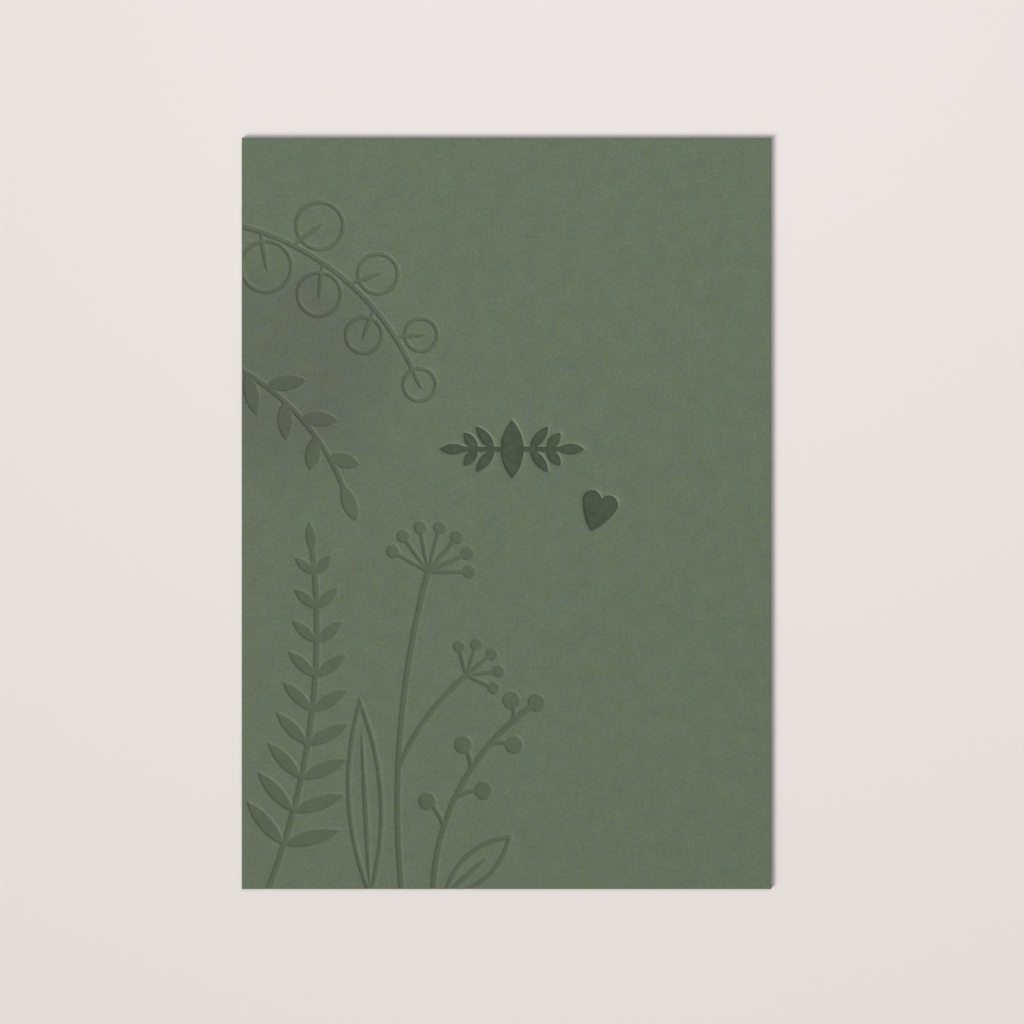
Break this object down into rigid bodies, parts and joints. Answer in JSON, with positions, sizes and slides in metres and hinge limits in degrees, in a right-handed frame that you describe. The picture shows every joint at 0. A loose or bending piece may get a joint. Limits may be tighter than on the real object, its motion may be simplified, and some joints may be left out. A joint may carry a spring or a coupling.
{
  "type": "postcard",
  "caption": "Flat rectangular greeting postcard of heavy uncoated board with a plant design, an ornament and a heart pressed into its face, lying face up.",
  "frame": {"origin": "on the underside, below the middle of the card", "axes": "+X along the card's width to the right, +Y along its height towards the top edge, +Z out of the pressed face, up"},
  "size_m": [0.105, 0.149, 0.0007],
  "materials": {
    "board": "uncoated, matte"
  },
  "bodies": {
    "root": {"card": "board"}
  },
  "joints": []
}
